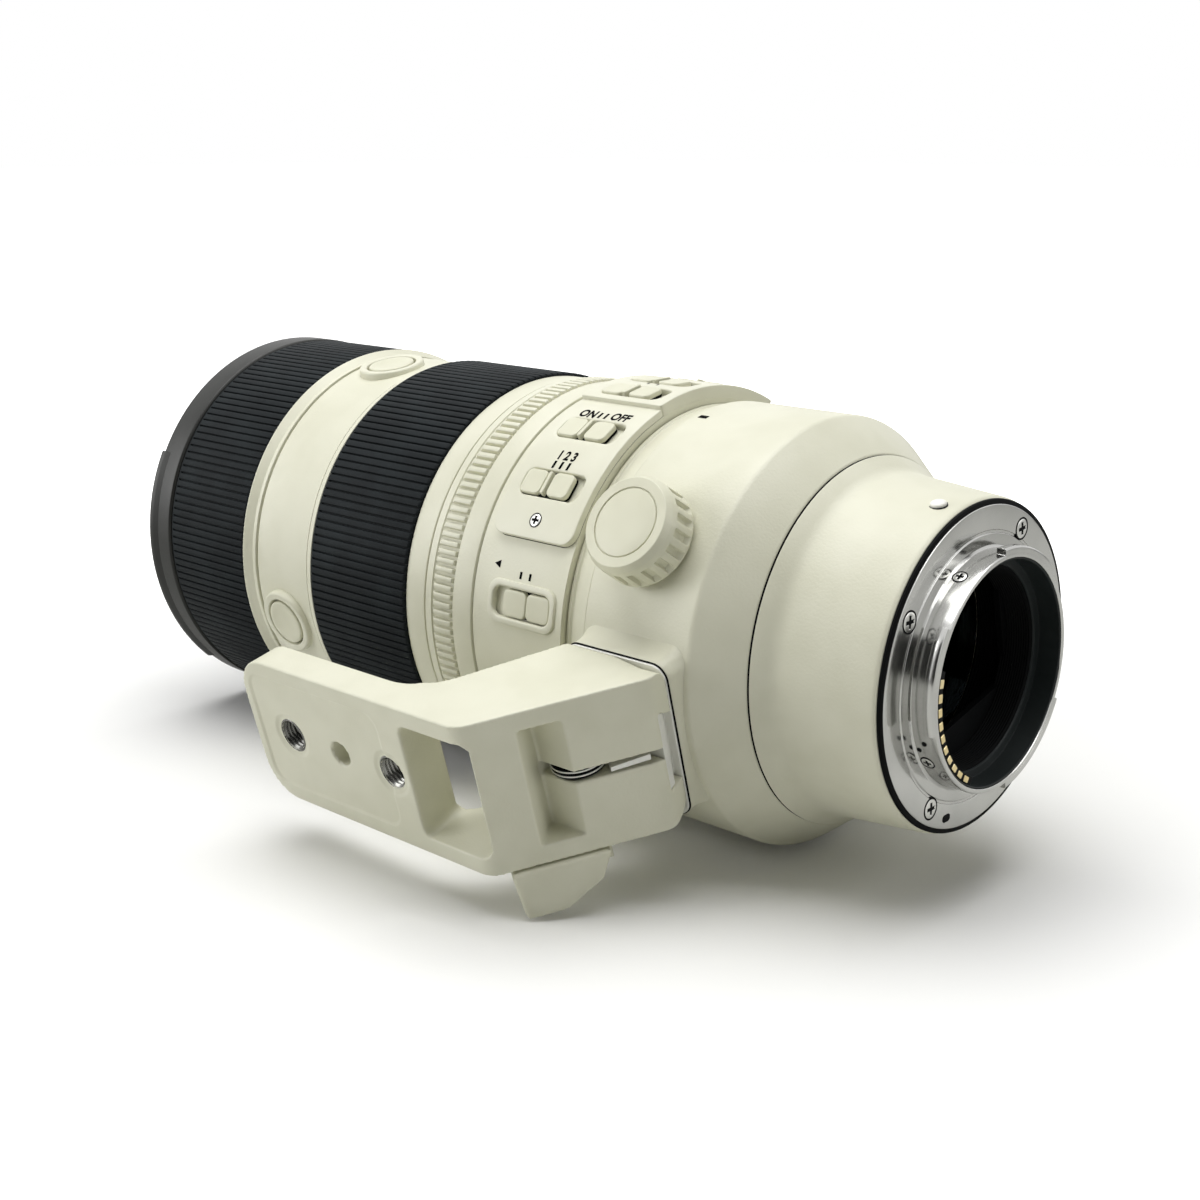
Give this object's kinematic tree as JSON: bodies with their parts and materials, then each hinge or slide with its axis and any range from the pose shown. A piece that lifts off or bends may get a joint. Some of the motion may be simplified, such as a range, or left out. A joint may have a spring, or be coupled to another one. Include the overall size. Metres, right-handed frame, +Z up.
{
  "type": "camera zoom lens",
  "caption": "Long cream telephoto zoom lens with ribbed rubber zoom and focus rings, an aperture ring, sliding switches, a bayonet mount and a turning collar with a clamped tripod foot.",
  "frame": {"origin": "centre of the bayonet's flange face, on the optical axis", "axes": "+X along the optical axis from the front glass towards the camera; +Z up as the lens lies on its side; +Y away from the foot"},
  "size_m": [0.205, 0.1225, 0.0896],
  "materials": {
    "cream_enamel": "fine textured enamel",
    "cream_panel": "satin enamel",
    "dark_satin_metal": "satin",
    "grip_rubber": "matte ribbed",
    "coated_glass": "polished",
    "blackened_blade": "matte black",
    "button_grey": "satin",
    "switch_grey": "satin",
    "matte_black": "matte",
    "board_green": "satin",
    "bright_metal": "turned and polished",
    "dark_steel": "blackened",
    "gold_contact": "polished"
  },
  "bodies": {
    "barrel": {"front_ring": "dark_satin_metal", "front_element": "coated_glass", "front_barrel": "cream_enamel", "main_barrel": "cream_enamel", "lower_switch_plate": "cream_panel", "upper_switch_plate": "cream_panel", "rear_barrel": "cream_enamel", "mount_flange": "bright_metal", "light_mask": "matte_black", "rear_element": "coated_glass", "contact_strip": "matte_black", "contact_pins": "gold_contact", "circuit_board": "board_green", "focus_motor": "matte_black", "guide_rods": "bright_metal", "stabiliser_plate": "matte_black"},
    "focus_ring": {"focus_ring": "grip_rubber"},
    "zoom_ring": {"zoom_ring": "cream_enamel", "zoom_grip": "grip_rubber"},
    "zoom_group": {"zoom_group": "coated_glass"},
    "aperture_ring": {"aperture_ring": "cream_enamel"},
    "iris_blade_1": {"iris_blade_1": "blackened_blade"},
    "iris_blade_2": {"iris_blade_2": "blackened_blade"},
    "iris_blade_3": {"iris_blade_3": "blackened_blade"},
    "iris_blade_4": {"iris_blade_4": "blackened_blade"},
    "iris_blade_5": {"iris_blade_5": "blackened_blade"},
    "iris_blade_6": {"iris_blade_6": "blackened_blade"},
    "iris_blade_7": {"iris_blade_7": "blackened_blade"},
    "focus_group": {"focus_group": "coated_glass"},
    "stabiliser_frame": {"stabiliser_frame": "matte_black"},
    "stabiliser_lens": {"stabiliser_lens": "coated_glass"},
    "focus_hold_button_1": {"focus_hold_button_1": "button_grey"},
    "focus_hold_button_2": {"focus_hold_button_2": "button_grey"},
    "focus_hold_button_3": {"focus_hold_button_3": "button_grey"},
    "stabiliser_switch": {"stabiliser_switch": "switch_grey"},
    "mode_switch": {"mode_switch": "switch_grey"},
    "iris_lock_switch": {"iris_lock_switch": "switch_grey"},
    "focus_limit_switch": {"focus_limit_switch": "switch_grey"},
    "focus_mode_switch": {"focus_mode_switch": "switch_grey"},
    "full_time_focus_switch": {"full_time_focus_switch": "switch_grey"},
    "iris_click_switch": {"iris_click_switch": "switch_grey"},
    "collar": {"collar": "cream_enamel", "foot_rail": "bright_metal"},
    "lock_knob": {"lock_knob": "cream_enamel", "lock_shaft": "dark_steel"},
    "foot": {"foot": "cream_enamel"},
    "foot_lever": {"foot_lever": "cream_enamel", "clamp_screw": "dark_steel"}
  },
  "joints": [
    {"name": "focus_ring_turn", "type": "hinge", "parent": "barrel", "child": "focus_ring", "pos_m": [-0.1775, 0, 0], "axis": [1, 0, 0], "continuous": true},
    {"name": "zoom_ring_turn", "type": "hinge", "parent": "barrel", "child": "zoom_ring", "pos_m": [-0.121, 0, 0], "axis": [1, 0, 0], "range_deg": [0, 70]},
    {"name": "zoom_group_slide", "type": "slide", "parent": "barrel", "child": "zoom_group", "axis": [1, 0, 0], "range_m": [0, 0.022]},
    {"name": "aperture_ring_turn", "type": "hinge", "parent": "barrel", "child": "aperture_ring", "pos_m": [-0.0955, 0, 0], "axis": [1, 0, 0], "range_deg": [0, 80]},
    {"name": "iris_blade_1_swing", "type": "hinge", "parent": "barrel", "child": "iris_blade_1", "pos_m": [-0.0887, 0.02228, -0.00234], "axis": [1, 0, 0], "range_deg": [0, 22]},
    {"name": "iris_blade_2_swing", "type": "hinge", "parent": "barrel", "child": "iris_blade_2", "pos_m": [-0.0892, 0.01572, 0.01596], "axis": [1, 0, 0], "range_deg": [0, 22]},
    {"name": "iris_blade_3_swing", "type": "hinge", "parent": "barrel", "child": "iris_blade_3", "pos_m": [-0.0897, -0.00267, 0.02224], "axis": [1, 0, 0], "range_deg": [0, 22]},
    {"name": "iris_blade_4_swing", "type": "hinge", "parent": "barrel", "child": "iris_blade_4", "pos_m": [-0.0902, -0.01905, 0.01178], "axis": [1, 0, 0], "range_deg": [0, 22]},
    {"name": "iris_blade_5_swing", "type": "hinge", "parent": "barrel", "child": "iris_blade_5", "pos_m": [-0.0907, -0.02109, -0.00756], "axis": [1, 0, 0], "range_deg": [0, 22]},
    {"name": "iris_blade_6_swing", "type": "hinge", "parent": "barrel", "child": "iris_blade_6", "pos_m": [-0.0912, -0.00724, -0.0212], "axis": [1, 0, 0], "range_deg": [0, 22]},
    {"name": "iris_blade_7_swing", "type": "hinge", "parent": "barrel", "child": "iris_blade_7", "pos_m": [-0.0917, 0.01206, -0.01888], "axis": [1, 0, 0], "range_deg": [0, 22]},
    {"name": "focus_group_slide", "type": "slide", "parent": "barrel", "child": "focus_group", "axis": [1, 0, 0], "range_m": [0, 0.014]},
    {"name": "stabiliser_frame_slide", "type": "slide", "parent": "barrel", "child": "stabiliser_frame", "axis": [0, -0.2504, 0.9681], "range_m": [-0.001, 0.001], "stiffness_N_per_m": 600},
    {"name": "stabiliser_lens_slide", "type": "slide", "parent": "stabiliser_frame", "child": "stabiliser_lens", "axis": [0, -0.9681, -0.2504], "range_m": [-0.001, 0.001], "stiffness_N_per_m": 600},
    {"name": "focus_hold_button_1_press", "type": "slide", "parent": "barrel", "child": "focus_hold_button_1", "axis": [0, 0.1959, -0.9806], "range_m": [0, 0.0006], "stiffness_N_per_m": 800, "springref_m": -0.0002},
    {"name": "focus_hold_button_2_press", "type": "slide", "parent": "barrel", "child": "focus_hold_button_2", "axis": [0, 0.9593, 0.2823], "range_m": [0, 0.0006], "stiffness_N_per_m": 800, "springref_m": -0.0002},
    {"name": "focus_hold_button_3_press", "type": "slide", "parent": "barrel", "child": "focus_hold_button_3", "axis": [0, -0.3665, 0.9304], "range_m": [0, 0.0006], "stiffness_N_per_m": 800, "springref_m": -0.0002},
    {"name": "stabiliser_switch_slide", "type": "slide", "parent": "barrel", "child": "stabiliser_switch", "axis": [1, 0, 0], "range_m": [0, 0.0025]},
    {"name": "mode_switch_slide", "type": "slide", "parent": "barrel", "child": "mode_switch", "axis": [1, 0, 0], "range_m": [0, 0.0025]},
    {"name": "iris_lock_switch_slide", "type": "slide", "parent": "barrel", "child": "iris_lock_switch", "axis": [1, 0, 0], "range_m": [-0.0025, 0]},
    {"name": "focus_limit_switch_slide", "type": "slide", "parent": "barrel", "child": "focus_limit_switch", "axis": [1, 0, 0], "range_m": [0, 0.0025]},
    {"name": "focus_mode_switch_slide", "type": "slide", "parent": "barrel", "child": "focus_mode_switch", "axis": [1, 0, 0], "range_m": [0, 0.0025]},
    {"name": "full_time_focus_switch_slide", "type": "slide", "parent": "barrel", "child": "full_time_focus_switch", "axis": [1, 0, 0], "range_m": [0, 0.0025]},
    {"name": "iris_click_switch_slide", "type": "slide", "parent": "barrel", "child": "iris_click_switch", "axis": [1, 0, 0], "range_m": [0, 0.0025]},
    {"name": "collar_turn", "type": "hinge", "parent": "barrel", "child": "collar", "pos_m": [-0.0445, 0, 0], "axis": [1, 0, 0], "continuous": true},
    {"name": "lock_knob_turn", "type": "hinge", "parent": "collar", "child": "lock_knob", "pos_m": [-0.0471, -0.03651, 0.02272], "axis": [0, -0.849, 0.5284], "range_deg": [0, 360]},
    {"name": "foot_slide", "type": "slide", "parent": "collar", "child": "foot", "axis": [1, 0, 0], "range_m": [0, 0.026]},
    {"name": "foot_lever_turn", "type": "hinge", "parent": "foot", "child": "foot_lever", "pos_m": [-0.0476, -0.05112, -0.03026], "axis": [0, 0.258, -0.9662], "range_deg": [0, 80]}
  ],
  "couplings": [
    {"joint": "zoom_group_slide", "follows": "zoom_ring_turn", "m_per_rad": 0.018007},
    {"joint": "iris_blade_2_swing", "follows": "iris_blade_1_swing", "ratio": 1},
    {"joint": "iris_blade_3_swing", "follows": "iris_blade_1_swing", "ratio": 1},
    {"joint": "iris_blade_4_swing", "follows": "iris_blade_1_swing", "ratio": 1},
    {"joint": "iris_blade_5_swing", "follows": "iris_blade_1_swing", "ratio": 1},
    {"joint": "iris_blade_6_swing", "follows": "iris_blade_1_swing", "ratio": 1},
    {"joint": "iris_blade_7_swing", "follows": "iris_blade_1_swing", "ratio": 1}
  ]
}
